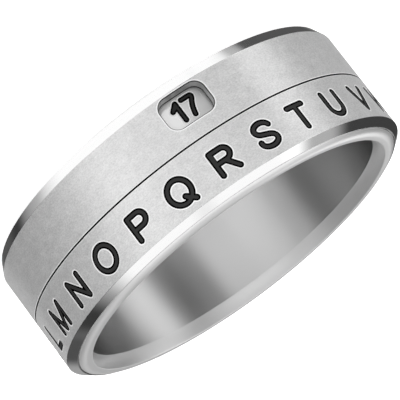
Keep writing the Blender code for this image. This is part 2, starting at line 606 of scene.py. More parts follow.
def add_node(tree: NodeTree, kind: str, *values: Feed, **settings: Feed) -> Node:
    """Add a node and set it up.

    Args:
        tree: the node tree.
        kind: the node's type name.
        values: what its first inputs get, in order.
        settings: the node's own settings, and other inputs by name, which start with a capital.

    Returns:
        The new node.
    """
    node = tree.nodes.new(kind)
    for name, value in settings.items():
        if name[0].islower():
            setattr(node, name, value)
    set_inputs(node, *values, **{name: value for name, value in settings.items() if name[0].isupper()})
    return node


def new_material(name: str, **inputs: Feed) -> tuple[bpy.types.Material, Node]:
    """A material, and its Principled shader with these inputs.

    Args:
        name: name of the material.
        inputs: inputs of the shader, by name.

    Returns:
        The material and the shader.
    """
    material = bpy.data.materials.new(name)
    material.use_nodes = True
    shader = material.node_tree.nodes["Principled BSDF"]
    set_inputs(shader, **inputs)
    return material, shader


@dataclass(frozen=True)
class Steel:
    """Stainless steel as it leaves the lathe, the belt or the buff.

    Args:
        name: material name.
        colour: sRGB hex of the metal.
        roughness: middle roughness.
        wander: how far the roughness wanders to each side, in soft spots.
        spot: size of those spots in millimetres.
        grain: size of the finer grain within them.
        cloudiness: how much the spots count beside the grain.
        rubbed: how much longer both are round the ring than along its axis.
        tint: how much darker the dark spots are, as a share.
        brush: how much the finish is drawn along the circumference, from 0 to 1.
        mirror: share of the surface that mirrors; the rest, torn up by blasting, only scatters.
        graze: sRGB hex of what a mirroring surface keeps of the light at a grazing view.
    """

    name: str
    colour: str
    roughness: float
    wander: float = 0.0
    spot: float = 0.8
    grain: float = 0.12
    cloudiness: float = 0.45
    rubbed: float = 1.8
    tint: float = 0.0
    brush: float = 0.0
    mirror: float = 1.0
    graze: str = "ffffff"

    def material(self) -> bpy.types.Material:
        """Build the material.

        Returns:
            A new material with this finish.
        """
        material, shader = new_material(
            self.name,
            Metallic=self.mirror,
            Base_Color=linear(self.colour),
            Roughness=self.roughness,
            Specular_Tint=linear(self.graze),
        )
        tree = material.node_tree
        if self.brush:
            # Marks left round the bore spread a reflection along the axis, a quarter turn from them
            round_axis = add_node(tree, "ShaderNodeTangent", direction_type="RADIAL", axis="Z").outputs[0]
            set_inputs(shader, Anisotropic=self.brush, Anisotropic_Rotation=0.25, Tangent=round_axis)
        if self.wander:
            self.add_spots(tree, shader)
        return material

    def add_spots(self, tree: NodeTree, shader: Node) -> None:
        """Let roughness and colour wander in clouds and grain, drawn out by the rubbing.

        Args:
            tree: the material's node tree.
            shader: its Principled shader.
        """
        place = add_node(tree, "ShaderNodeTexCoord").outputs["Object"]
        drawn = add_node(tree, "ShaderNodeMapping", Vector=place, Scale=(1, 1, self.rubbed)).outputs[0]
        clouds, grain = (
            add_node(
                tree, "ShaderNodeTexNoise", Vector=drawn, Scale=1 / (size * MM), Detail=3.0, Roughness=0.6
            ).outputs["Fac"]
            for size in (self.spot, self.grain)
        )
        spots = add_node(
            tree, "ShaderNodeMath", clouds, self.cloudiness, grain, operation="MULTIPLY_ADD"
        ).outputs[0]
        middle, reach = (1 + self.cloudiness) / 2, 0.25
        across = (spots, middle - reach, middle + reach)
        rough = add_node(
            tree, "ShaderNodeMapRange", *across, self.roughness - self.wander, self.roughness + self.wander
        )
        share = add_node(tree, "ShaderNodeMapRange", *across)
        light = linear(self.colour)
        mix = add_node(tree, "ShaderNodeMix", share.outputs["Result"], data_type="RGBA")
        # The two colours are called A and B, as other inputs are, so they go by their numbers
        mix.inputs[6].default_value = tuple(channel * (1 - self.tint) for channel in light[:3]) + (1.0,)
        mix.inputs[7].default_value = light
        set_inputs(shader, Roughness=rough.outputs["Result"], Base_Color=mix.outputs[2])


@dataclass(frozen=True)
class Enamel:
    """Black stove enamel wiped into an engraving.

    Args:
        name: material name.
        colour: sRGB hex.
        roughness: roughness of the dried surface.
        gloss: how much it shines, where 0.5 is plain gloss paint.
    """

    name: str
    colour: str
    roughness: float
    gloss: float = 0.2

    def material(self) -> bpy.types.Material:
        """Build the material.

        Returns:
            A new material with this finish.
        """
        colour = linear(self.colour)
        return new_material(
            self.name, Base_Color=colour, Roughness=self.roughness, Specular_IOR_Level=self.gloss
        )[0]


# Fine glass-bead finish, rubbed round: soft and grey, mottled, without separate scratches. The
# beads' own marks, about 0.05 mm wide, are drawn as a grain of 0.12 mm, so that they show
SATIN = Steel("satin_stainless", "f2f2f2", 0.34, wander=0.05, tint=0.3, mirror=0.6)
# Bevels and shoulders cut with a sharp tool and buffed: clear, slightly soft reflections
BRIGHT = Steel("polished_stainless", "f2f2f2", 0.08)
# Bore buffed round, so that reflections stand as stripes along the axis. A grey grazing tint
# darkens its ends, which are seen at a grazing view: painted shade
BORE = Steel("buffed_bore_stainless", "e2e2e2", 0.38, brush=1.0, graze="808080")
# Number track under the bands, buffed over a blasted ground, so it mirrors the window's wall
TRACK = Steel("buffed_track_stainless", "f6f6f6", 0.14, mirror=0.45)
# Painted highlight: edges coloured near white and mostly unmirrored, so that they show as bright lines
BURNISHED = Steel("painted_highlight_stainless", "fafafa", 0.4, mirror=0.3)
# Lips rubbed by hand with a fine pad
LIP = Steel("satin_lip_stainless", "e6e6e6", 0.32, mirror=0.7)
# Window's wall, milled, and coloured a darker grey as painted shade in the window's recess
MILLED_PAINTED_SHADE = Steel("milled_painted_shade_stainless", "b4b4b4", 0.45, mirror=0.7)
# Painted shade: faces in the running gaps, at the window's edge and at its wall's foot, coloured near black
OILED = Steel("painted_shade_stainless", "141414", 0.5, mirror=0.5)
# Enamel at the middle of a stroke, where it lies thick: the lit one of two colours of the enamel
BLACK = Enamel("black_enamel", "2c2c2c", 0.5)
# Painted shade: enamel at the edge of a stroke, coloured near black for the groove's own shade
BLACK_PAINTED_SHADE = Enamel("black_enamel_painted_shade", "020202", 0.6, gloss=0.0)


# Mesh building


def closed_mesh(name: str, shape: bmesh.types.BMesh) -> bpy.types.Mesh:
    """Mesh of a finished shape, with its doubles merged, its faces outward and its corners sharp.

    Args:
        name: name of the mesh.
        shape: the shape, which is freed.

    Returns:
        The mesh.
    """
    bmesh.ops.remove_doubles(shape, verts=shape.verts, dist=MERGE_DISTANCE)
    bmesh.ops.recalc_face_normals(shape, faces=shape.faces)
    for face in shape.faces:
        face.smooth = True
    mesh = bpy.data.meshes.new(name)
    shape.to_mesh(mesh)
    shape.free()
    mesh.set_sharp_from_angle(angle=SHARP_ANGLE)
    return mesh


def add_object(name: str, mesh: bpy.types.Mesh, finishes: Iterable[Steel | Enamel] = ()) -> bpy.types.Object:
    """Link a mesh as an object at the origin, with its finishes.

    Args:
        name: name of the object.
        mesh: its mesh.
        finishes: one for each material number of the mesh.

    Returns:
        The object.
    """
    for finish in finishes:
        mesh.materials.append(finish.material())
    piece = bpy.data.objects.new(name, mesh)
    bpy.context.scene.collection.objects.link(piece)
    return piece


def hand_over(piece: bpy.types.Object, body: str, node: str = "") -> None:
    """Tell the frame the body that a piece rides on, and the node that it replaces.

    Args:
        piece: the piece.
        body: the body.
        node: the node, if it replaces one.
    """
    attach(piece, body)
    if node:
        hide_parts(node)


def extrude_to(shape: bmesh.types.BMesh, faces: list[bmesh.types.BMFace], radius: float) -> None:
    """Extrude faces of a wall straight in to a radius.

    Args:
        shape: the shape that holds them.
        faces: the faces.
        radius: the radius, in millimetres.
    """
    grown = bmesh.ops.extrude_face_region(shape, geom=faces)
    for vert in (item for item in grown["geom"] if isinstance(item, bmesh.types.BMVert)):
        share = radius * MM / math.hypot(vert.co.x, vert.co.y)
        vert.co.x *= share
        vert.co.y *= share


@dataclass
class Surface:
    """A mesh under construction, with the shading normal that each turned surface should have.

    Args:
        name: name of the piece.
        outline: the eased outline that is turned about the ring's axis.
        shape: the mesh.
        stretch: its layer with the number of each face's stretch of the outline, or -1.
    """

    name: str
    outline: list[Turn]
    shape: bmesh.types.BMesh = field(default_factory=bmesh.new)
    stretch: bmesh.types.BMLayerItem = field(init=False)

    def __post_init__(self) -> None:
        """Turn the outline once round the axis."""
        places = [Vector((turn.radius * MM, 0, turn.height * MM)) for turn in self.outline]
        corners = [self.shape.verts.new(place) for place in places]
        edges = [self.shape.edges.new(pair) for pair in zip(corners, corners[1:] + corners[:1])]
        bmesh.ops.spin(
            self.shape,
            geom=corners + edges,
            cent=(0, 0, 0),
            axis=(0, 0, 1),
            angle=math.tau,
            steps=TURN_STEPS,
            use_merge=True,
        )
        self.stretch = self.shape.faces.layers.int.new("stretch")
        self.shape.verts.ensure_lookup_table()
        self.shape.verts.index_update()
        nearest = self.nearest_turns([vert.co for vert in self.shape.verts])
        count = len(self.outline)
        for face in self.shape.faces:
            ends = {int(nearest[vert.index]) for vert in face.verts}
            low, high = min(ends), max(ends)
            start = high if (low == 0 and high == count - 1) else low
            face[self.stretch] = start
            face.material_index = int(self.outline[start].side)

    def nearest_turns(self, places: Sequence[Vector]) -> np.ndarray:
        """Number of the outline's corner nearest to each place, given in metres.

        Args:
            places: the places.

        Returns:
            One number for each place.
        """
        found = np.array([(math.hypot(co.x, co.y) / MM, co.z / MM) for co in places])
        turns = np.array([turn.place for turn in self.outline])
        return np.linalg.norm(found[:, None] - turns[None], axis=2).argmin(axis=1)

    def wall(self, radius: float, low: float, high: float) -> int:
        """Number of the stretch that runs along the axis at a radius, between two heights.

        Args:
            radius: the radius.
            low: lower height.
            high: upper height.

        Returns:
            The number of the stretch.
        """
        for index, turn in enumerate(self.outline):
            after = self.outline[(index + 1) % len(self.outline)]
            upright = max(abs(turn.radius - radius), abs(after.radius - radius)) < NEAR
            if upright and min(turn.height, after.height) <= low and max(turn.height, after.height) >= high:
                return index
        raise ValueError(f"{self.name} has no wall at radius {radius}")

    def cut_out(self, stretch: int, keep: Callable[[float], bool] | None = None) -> None:
        """Take away the faces of a stretch, except where keep says so for a face's azimuth.

        Args:
            stretch: number of the stretch.
            keep: whether a face at an azimuth stays.
        """
        gone = []
        for face in self.shape.faces:
            if face[self.stretch] != stretch:
                continue
            middle = face.calc_center_median()
            if keep is None or not keep(math.atan2(middle.y, middle.x)):
                gone.append(face)
        bmesh.ops.delete(self.shape, geom=gone, context="FACES_ONLY")

    def piece(self, *finishes: Steel) -> bpy.types.Object:
        """Close the mesh, set its normals and make it an object.

        Args:
            finishes: one for each side number.

        Returns:
            The finished object, at the origin.
        """
        mesh = closed_mesh(self.name, self.shape)
        self.set_normals(mesh)
        return add_object(self.name, mesh, finishes)

    def set_normals(self, mesh: bpy.types.Mesh) -> None:
        """Give turned surfaces the normals of the true form, and leave the others as they are.

        Args:
            mesh: the mesh of the finished shape.
        """
        ends = outline_normals(self.outline)
        heights = np.array([turn.height for turn in self.outline])
        radii = np.array([turn.radius for turn in self.outline])
        stretches = mesh.attributes["stretch"].data
        normals = [(0.0, 0.0, 0.0)] * len(mesh.loops)
        for face in mesh.polygons:
            start = stretches[face.index].value
            if start < 0:
                continue
            after = (start + 1) % len(self.outline)
            for loop in face.loop_indices:
                place = mesh.vertices[mesh.loops[loop].vertex_index].co
                out = math.hypot(place.x, place.y)
                to_start = math.hypot(out / MM - radii[start], place.z / MM - heights[start])
                to_end = math.hypot(out / MM - radii[after], place.z / MM - heights[after])
                flat = ends[start][0] if to_start < to_end else ends[start][1]
                normal = Vector((flat[0] * place.x / out, flat[0] * place.y / out, flat[1]))
                if normal.dot(face.normal) < 0:
                    normal.negate()
                normals[loop] = tuple(normal)
        mesh.normals_split_custom_set(normals)


@dataclass
class Engraving:
    """Characters round a turned wall: their grooves in the wall, and the enamel in the grooves.

    Args:
        surface: the turned surface that takes the grooves.
        radius: radius of the wall in millimetres.
        low: lower edge of the wall.
        high: upper edge of the wall.
        centre: height of the characters' middle.
        engraver: the cutter and the size of the characters.
        fill: the mesh of the enamel.
        sunk: how far the enamel's top lies below the wall.
        dip: how far it falls further where it is thick.
        clear: gap between the enamel and the floor of the groove, but for the dip.
        dark_share: share of the engraver's shade whose enamel is the darker one.
        wall: number of the wall's stretch of the outline.
    """

    surface: Surface
    radius: float
    low: float
    high: float
    centre: float
    engraver: Engraver
    fill: bmesh.types.BMesh = field(default_factory=bmesh.new)
    sunk: float = 0.01
    dip: float = 0.014
    clear: float = 0.03
    dark_share: float = 0.9
    wall: int = field(init=False)

    def __post_init__(self) -> None:
        """Take the wall away, which the characters' tiles rebuild."""
        self.wall = self.surface.wall(self.radius, self.low, self.high)
        self.surface.cut_out(self.wall)

    def at(self, azimuth: float, across: float, up: float, sink: float) -> Vector:
        """Place of a drawing's point on the wall, in metres. The characters' tops face down.

        Args:
            azimuth: where the drawing's middle is.
            across: how far the point is from it, in reading direction.
            up: how far it is above the characters' middle.
            sink: how far it lies below the wall.

        Returns:
            The place.
        """
        turn = azimuth - across / self.radius
        out = (self.radius - sink) * MM
        return Vector((out * math.cos(turn), out * math.sin(turn), (self.centre - up) * MM))

    def drawing(self, lines: Sequence[np.ndarray]) -> Drawing:
        """The place's rectangle with its bend lines and the outlines of the grooves.

        Args:
            lines: centre lines of the passes.

        Returns:
            The drawing, in millimetres across and up.
        """
        half_place = math.pi * self.radius / PLACES
        top, bottom = self.centre - self.low, self.centre - self.high
        drawing = Drawing()
        drawing.add_loop([(-half_place, bottom), (half_place, bottom), (half_place, top), (-half_place, top)])
        for step in range(1, PLACE_STEPS):
            across = half_place * (2 * step / PLACE_STEPS - 1)
            drawing.add_edge((across, bottom), (across, top))
        half = self.engraver.stroke / 2
        for reach in (half + self.engraver.rim, half, half - self.engraver.shade):
            for start, end in merged_outline(lines, reach):
                drawing.add_edge(start, end)
        return drawing

    def cut(self, text: str, azimuth: float, aside: float = 0.0) -> None:
        """Engrave one text and fill it.

        Args:
            text: the characters.
            azimuth: where the middle of the text's place is, in radians.
            aside: how far the text stands from that middle, in millimetres.
        """
        lines = [line + (aside, 0) for line in self.engraver.passes(text)]
        points, _, triangles = self.drawing(lines).solved()
        depth = distance_to(lines, points)
        centres = np.array([points[list(triangle)].mean(axis=0) for triangle in triangles])
        reach = distance_to(lines, centres)
        half, rim = self.engraver.stroke / 2, self.engraver.rim
        shape = self.surface.shape
        sinks = np.clip((half + rim - depth) / rim, 0, 1) * self.engraver.rim_drop
        verts = [shape.verts.new(self.at(azimuth, x, y, sink)) for (x, y), sink in zip(points, sinks)]
        groove = []
        for triangle, away in zip(triangles, reach):
            face = shape.faces.new([verts[index] for index in triangle])
            land = away > half + rim
            face[self.surface.stretch] = self.wall if land else -1
            # The edge round each groove carries a painted highlight
            face.material_index = int(self.surface.outline[self.wall].side if land else Side.BURNISHED)
            if away < half:
                groove.append(face)
        extrude_to(shape, groove, self.radius - self.engraver.depth)
        bmesh.ops.delete(shape, geom=groove, context="FACES")
        self.pour(azimuth, points, depth, [t for t, away in zip(triangles, reach) if away < half])

    def pour(self, azimuth: float, points: np.ndarray, depth: np.ndarray, triangles: list[Triangle]) -> None:
        """Fill the grooves of one text with enamel that sinks a little as it dries.

        Args:
            azimuth: where the middle of the text's place is, in radians.
            points: points of the drawing.
            depth: distance of each point to the nearest centre line.
            triangles: the drawing's triangles that lie in a groove.
        """
        half, shade = self.engraver.stroke / 2, self.engraver.shade
        sinks = self.sunk + self.dip * np.clip((half - depth) / shade, 0, 1)
        used = sorted({index for triangle in triangles for index in triangle})
        verts = {
            index: self.fill.verts.new(self.at(azimuth, *points[index], sinks[index])) for index in used
        }
        faces = []
        for triangle in triangles:
            face = self.fill.faces.new([verts[index] for index in triangle])
            # Enamel near the groove's edge takes the painted shade colour
            face.material_index = int(depth[list(triangle)].mean() > half - shade * self.dark_share)
            faces.append(face)
        extrude_to(self.fill, faces, self.radius - self.engraver.depth + self.clear - self.dip)

    def fill_piece(self, name: str) -> bpy.types.Object:
        """The enamel of all the characters as one object."""
        return add_object(name, closed_mesh(name, self.fill), (BLACK, BLACK_PAINTED_SHADE))


# The ring's pieces


@dataclass
class CoreSleeve:
    """Inner sleeve: buffed bore, number track with engraved numbers, and satin front lip.

    Args:
        edge: rounding of the lip's edge.
        crest_edge: rounding where the bore meets the lip.
        track_split: height up to which the number track is seen; above it, under the letter band, it carries
            painted shade.
        turn: turn of the numbers from the window's middle.
        numbers_rise: height of the numbers above the window's middle.
        engraver: the cutter and the size of the numbers.
        lead_in_steps: number of facets along each lead-in.
        crown_steps: number of facets across the lip's crown.
    """

    edge: float = 0.03
    crest_edge: float = 0.06
    track_split: float = 3.6
    turn: float = math.radians(-0.4)
    numbers_rise: float = -0.135
    engraver: Engraver = Engraver(cap_height=1.47, stroke=0.33)
    lead_in_steps: int = 12
    crown_steps: int = 10

    def lead_in(self, crest: float, direction: int) -> list[Turn]:
        """Lead-in from the straight bore to a crest above it (1) or below it (-1).

        Args:
            crest: height of the crest.
            direction: which way the crest lies from the bore.

        Returns:
            The corners, from the bore to the crest.
        """
        s = SIZES
        start = (s.bore_radius, crest - direction * s.lead_in_length)
        end = (s.bore_radius + s.lead_in_flare, crest)
        taper = swelling_arc(start, end, direction * s.lead_in_swell, self.lead_in_steps)
        turns = [Turn(*start, Side.SECOND, crease=True)]
        turns += [Turn(*point, Side.SECOND) for point in taper[:-1]]
        turns.append(Turn(*end, Side.SECOND, self.crest_edge))
        return turns

    def outline(self) -> list[Turn]:
        """Outline of the sleeve, from the back crest up the bore and down the outside.

        Returns:
            The eased corners.
        """
        s = SIZES
        buffed, satin, painted_shade, track = Side.MAIN, Side.SECOND, Side.OILED, Side.THIRD
        run = s.rim_radius - s.spigot_radius
        lip, _ = crown((s.spigot_radius, s.ring_width), run, -s.lip_rise, self.crown_steps)
        back = self.lead_in(0, -1)[::-1]
        turns = back[:-1] + [Turn(back[-1].radius, back[-1].height, buffed, crease=True)]
        turns += self.lead_in(s.ring_width, 1)
        turns.append(Turn(s.spigot_radius, s.ring_width, satin))
        turns += [Turn(*point, satin) for point in lip[:-1]]
        turns += [
            Turn(*lip[-1], track, self.edge),
            Turn(s.rim_radius, s.lip_underside, track),
            # The track under the letter band, from the lip down to the split, carries painted shade
            Turn(s.sleeve_radius, s.lip_underside, painted_shade),
            Turn(s.sleeve_radius, self.track_split, track),
            Turn(s.sleeve_radius, s.collar_seat, track),
            Turn(s.spigot_radius, s.collar_seat, track),
            Turn(s.spigot_radius, 0, satin),
        ]
        return eased(turns)

    def build(self) -> list[bpy.types.Object]:
        """Turn the sleeve, engrave 0 to 25 on its track and fill them.

        Returns:
            The sleeve and its numbers.
        """
        surface = Surface("core_sleeve_turned", self.outline())
        height = SIZES.window_centre + self.numbers_rise
        wall = (SIZES.sleeve_radius, SIZES.collar_seat, self.track_split)
        engraving = Engraving(surface, *wall, height, self.engraver)
        for number in range(PLACES):
            engraving.cut(str(number), azimuth_of(number) + self.turn)
        sleeve = surface.piece(BORE, LIP, BURNISHED, OILED, TRACK)
        numbers = engraving.fill_piece("number_enamel")
        hand_over(sleeve, "core", "core_sleeve")
        hand_over(numbers, "core")
        return [sleeve, numbers]


@dataclass
class RetainingCollar:
    """Collar pressed on the back of the sleeve, crowned like the front lip.

    Args:
        edge: rounding of the rim's edge.
        crown_steps: number of facets across the crown.
    """

    edge: float = 0.03
    crown_steps: int = 12

    def outline(self) -> list[Turn]:
        """Outline of the collar, from its bore up and round its rim.

        Returns:
            The eased corners.
        """
        s = SIZES
        run = s.rim_radius - s.spigot_radius
        lip, curve_radius = crown((s.spigot_radius, 0), run, s.lip_rise, self.crown_steps)
        out = s.collar_bore_radius - s.spigot_radius
        foot = curve_radius - math.sqrt(curve_radius * curve_radius - out * out)
        turns = [
            Turn(s.collar_bore_radius, s.collar_front, Side.SECOND),
            Turn(s.collar_bore_radius, foot, Side.MAIN),
        ]
        turns += [Turn(*point) for point in lip[:-1] if point[0] > s.collar_bore_radius]
        turns.append(Turn(*lip[-1], Side.SECOND, self.edge))
        turns.append(Turn(s.rim_radius, s.collar_front, Side.SECOND))
        return eased(turns)

    def build(self) -> list[bpy.types.Object]:
        """Turn the collar.

        Returns:
            The collar.
        """
        collar = Surface("retaining_collar_turned", self.outline()).piece(LIP, BRIGHT)
        hand_over(collar, "core", "retaining_collar")
        return [collar]


@dataclass(frozen=True)
class BandForm:
    """Section of an outer band.

    Args:
        seam: height of the end that faces the other band.
        end: height of the end with the counterbore and the bevel.
        bevel_length: length of the bevel along the axis.
        end_land: flat left between the bevel and the counterbore.
        seam_ease: rounding of the edge at the seam.
        edge: rounding of the other edges.
    """

    seam: float
    end: float
    bevel_length: float
    end_land: float
    seam_ease: float = 0.05
    edge: float = 0.025

    def outline(self) -> list[Turn]:
        """Outline of the band, from its bore at the seam and round its outside.

        Returns:
            The eased corners.
        """
        s = SIZES
        outward = math.copysign(1, self.end - self.seam)
        shoulder = self.end - outward * s.counterbore_depth
        satin, polished, painted_highlight, painted_shade = Side.MAIN, Side.SECOND, Side.BURNISHED, Side.OILED
        turns = [
            # The seam face and the bore, in the running gaps, carry painted shade
            Turn(s.band_bore_radius, self.seam, painted_shade),
            # The far half of the seam's rounding carries a painted highlight, its near half the seam face's
            # painted shade
            Turn(s.outer_radius, self.seam, satin, self.seam_ease, eased_side=painted_highlight),
            Turn(s.outer_radius, self.end - outward * self.bevel_length, polished, self.edge),
            Turn(s.counterbore_radius + self.end_land, self.end, polished, self.edge / 2),
            Turn(s.counterbore_radius, self.end, polished),
            Turn(s.counterbore_radius, shoulder, polished),
            Turn(s.band_bore_radius, shoulder, painted_shade),
        ]
        return eased(turns)

    def wall(self, outline: Sequence[Turn]) -> tuple[float, float, float]:
        """Radius, lowest and highest height of the straight outer wall of the eased outline.

        Args:
            outline: the eased outline.

        Returns:
            The radius and the two heights.
        """
        radius = SIZES.outer_radius
        heights = [turn.height for turn in outline if abs(turn.radius - radius) < NEAR]
        return radius, min(heights), max(heights)


@dataclass
class LetterBand:
    """Front outer band with the alphabet engraved round it, not quite evenly spaced.

    Args:
        form: the band's section.
        engraver: the cutter and the size of the letters.
        letters_centre: height of the letters' middle.
        turn: turn of the whole alphabet from the window's middle.
        first_letter: where the alphabet starts.
        nudges: how far single letters stand further on than their place, in millimetres.
    """

    form: BandForm = BandForm(
        SIZES.letter_band_back,
        SIZES.letter_band_front,
        SIZES.letter_bevel_length,
        SIZES.letter_end_land,
    )
    engraver: Engraver = Engraver(cap_height=1.84, stroke=0.385)
    letters_centre: float = 5.956
    turn: float = math.radians(1.7)
    first_letter: str = "A"
    nudges: dict[str, float] = field(
        default_factory=lambda: dict(M=-0.3, N=-0.08, P=0.06, R=0.19, S=0.15, T=-0.09, U=-0.13)
    )

    def build(self) -> list[bpy.types.Object]:
        """Turn the band, engrave the alphabet and fill it.

        Returns:
            The band and its letters.
        """
        outline = self.form.outline()
        surface = Surface("letter_band_turned", outline)
        engraving = Engraving(surface, *self.form.wall(outline), self.letters_centre, self.engraver)
        for place in range(PLACES):
            letter = chr(ord(self.first_letter) + place)
            engraving.cut(letter, azimuth_of(place) + self.turn, self.nudges.get(letter, 0.0))
        band = surface.piece(SATIN, BRIGHT, BURNISHED, OILED)
        letters = engraving.fill_piece("letter_enamel")
        hand_over(band, "letters", "letter_band")
        hand_over(letters, "letters")
        return [band, letters]


@dataclass
class WindowBand:
    """Back outer band with the round-cornered window that shows one number.

    Args:
        form: the band's section.
        rim: width and depth of the small bevel round the window, which carries painted shade.
        halo: width of the painted highlight outside that bevel.
        foot: height of the wall's foot at the running gap, which carries painted shade.
        corner_steps: number of facets in each corner.
        tile_steps: how far the rebuilt wall reaches to each side, in steps round the ring.
    """

    form: BandForm = BandForm(
        SIZES.window_band_front,
        SIZES.window_band_back,
        SIZES.window_bevel_length,
        SIZES.window_end_land,
    )
    rim: float = 0.05
    halo: float = 0.07
    foot: float = 0.19
    corner_steps: int = 8
    tile_steps: int = 8

    def window_loop(self, grow: float) -> Path:
        """Outline of the window, grown to each side.

        Args:
            grow: how far.

        Returns:
            The corners, in millimetres across and up.
        """
        s = SIZES
        half_width = s.window_width / 2 + grow
        half_height = s.window_height / 2 + grow
        radius = s.window_corner + grow
        loop = []
        for quarter, (side, level) in enumerate(((1, 1), (-1, 1), (-1, -1), (1, -1))):
            x, z = side * (half_width - radius), level * (half_height - radius)
            for step in range(self.corner_steps + 1):
                angle = (quarter + step / self.corner_steps) * math.pi / 2
                loop.append((x + radius * math.cos(angle), s.window_centre + z + radius * math.sin(angle)))
        return loop

    def inside(self, points: np.ndarray, grow: float) -> np.ndarray:
        """Whether points lie inside the window grown to each side.

        Args:
            points: the points.
            grow: how far.

        Returns:
            One truth value for each point.
        """
        s = SIZES
        away_x = np.maximum(abs(points[:, 0]) - (s.window_width / 2 - s.window_corner), 0)
        up = abs(points[:, 1] - s.window_centre)
        away_z = np.maximum(up - (s.window_height / 2 - s.window_corner), 0)
        return np.hypot(away_x, away_z) < s.window_corner + grow

    def bends(self, radius: float) -> list[float]:
        """Places across the tile where a wall of that radius bends."""
        turns = range(-self.tile_steps, self.tile_steps + 1)
        return [radius * math.sin(math.tau * turn / TURN_STEPS) for turn in turns]

    def drawing(self, radius: float, low: float, high: float, grows: Iterable[float]) -> Drawing:
        """Rectangle of a wall round the window, with its bend lines and the window's outlines.

        Args:
            radius: radius of the wall.
            low: lower edge of the wall.
            high: upper edge of the wall.
            grows: how far each outline of the window is grown.

        Returns:
            The drawing, in millimetres across and up.
        """
        edge_x = self.bends(radius)[-1]
        drawing = Drawing()
        drawing.add_loop([(-edge_x, low), (edge_x, low), (edge_x, high), (-edge_x, high)])
        for x in self.bends(SIZES.band_bore_radius) + self.bends(SIZES.outer_radius):
            if abs(x) < edge_x - NEAR:
                drawing.add_edge((x, low), (x, high))
        for grow in grows:
            drawing.add_loop(self.window_loop(grow))
        return drawing

    def lay_tile(
        self, surface: Surface, radius: float, low: float, high: float, rims: dict[float, Side]
    ) -> list[bmesh.types.BMEdge]:
        """Rebuild one wall round the window, with the window open in it.

        Args:
            surface: the band's surface.
            radius: radius of the wall.
            low: lower edge of the wall.
            high: upper edge of the wall.
            rims: how far each outline round the window is grown from it, and the finish inside that
                outline. The first is the opening, the second a bevel, and the others are flush.

        Returns:
            The edges round the opening.
        """
        stretch = surface.wall(radius, low, high)
        reach = self.tile_steps * math.tau / TURN_STEPS
        surface.cut_out(stretch, keep=lambda azimuth: abs(azimuth - WINDOW_AZIMUTH) > reach)
        points, _, triangles = self.drawing(radius, low, high, rims).solved()
        centres = np.array([points[list(triangle)].mean(axis=0) for triangle in triangles])
        within = {grow: self.inside(centres, grow) for grow in rims}
        drop = self.rim if len(rims) > 1 else 0.0
        at_opening = self.inside(points, self.rim / 2)
        verts = []
        for (x, z), near in zip(points, at_opening):
            out = radius - drop * near
            verts.append(surface.shape.verts.new((x * MM, -math.sqrt(out * out - x * x) * MM, z * MM)))
        for number, triangle in enumerate(triangles):
            around = [grow for grow in rims if within[grow][number]]
            if 0.0 in around:
                continue
            face = surface.shape.faces.new([verts[index] for index in triangle])
            face[surface.stretch] = -1 if self.rim in around else stretch
            face.material_index = int(rims[min(around)] if around else surface.outline[stretch].side)
        loose = [vert for vert in verts if not vert.link_faces]
        bmesh.ops.delete(surface.shape, geom=loose, context="VERTS")
        ring = {vert for vert, near in zip(verts, at_opening) if near and vert.is_valid}
        edges = {edge for vert in ring for edge in vert.link_edges if edge.is_boundary}
        return [edge for edge in edges if ring.issuperset(edge.verts)]

    def wall_window(self, surface: Surface, edges: list[bmesh.types.BMEdge]) -> None:
        """Join the two openings by a milled wall, whose grey and whose darker foot are painted shade.

        Args:
            surface: the band's surface.
            edges: the edges round both openings.
        """
        wall = bmesh.ops.bridge_loops(surface.shape, edges=edges)
        split = bmesh.ops.subdivide_edges(surface.shape, edges=wall["edges"], cuts=1)
        foot = SIZES.band_bore_radius + self.foot
        added = {item for item in split["geom_inner"] if isinstance(item, bmesh.types.BMVert)}
        for vert in added:
            vert.co.y = -math.sqrt(foot * foot - (vert.co.x / MM) ** 2) * MM
        # Below the foot the wall carries near-black painted shade; above it the milled grey, also painted
        # shade
        for face in {face for vert in added for face in vert.link_faces}:
            middle = face.calc_center_median()
            low = math.hypot(middle.x, middle.y) / MM < foot
            face[surface.stretch] = -1
            face.material_index = int(Side.OILED if low else Side.THIRD)

    def build(self) -> list[bpy.types.Object]:
        """Turn the band and open its window.

        Returns:
            The band.
        """
        outline = self.form.outline()
        surface = Surface("window_band_turned", outline)
        # Round the window, a small bevel in painted shade and then a painted highlight
        rims = {0.0: Side.MAIN, self.rim: Side.OILED, self.rim + self.halo: Side.BURNISHED}
        outside = self.lay_tile(surface, *self.form.wall(outline), rims)
        shoulder = self.form.end + SIZES.counterbore_depth
        bore = (SIZES.band_bore_radius, shoulder, self.form.seam)
        inside = self.lay_tile(surface, *bore, {0.0: Side.MAIN})
        self.wall_window(surface, outside + inside)
        band = surface.piece(SATIN, BRIGHT, BURNISHED, OILED, MILLED_PAINTED_SHADE)
        hand_over(band, "window", "window_band")
        return [band]


# Studio


@dataclass(frozen=True)
class Viewpoint:
    """The photograph's camera, in millimetres and degrees.

    Args:
        place: where it stands.
        turn: its turns about the three axes.
        lens: focal length.
        sensor: width of the sensor.
        sight: nearest and furthest distance that it sees, in metres.
    """

    place: tuple[float, float, float] = (38.421, -167.029, 50.479)
    turn: tuple[float, float, float] = (-71.113, -35.640, -178.283)
    lens: float = 270.0
    sensor: float = 36.0
    sight: Pair = (0.01, 20)

    def build(self) -> None:
        """Add the camera and use it."""
        data = bpy.data.cameras.new("camera")
        data.lens = self.lens
        data.sensor_width = self.sensor
        data.clip_start, data.clip_end = self.sight
        camera = bpy.data.objects.new("camera", data)
        camera.location = Vector(self.place) * MM
        camera.rotation_euler = Euler([math.radians(angle) for angle in self.turn])
        bpy.context.scene.collection.objects.link(camera)
        bpy.context.scene.camera = camera


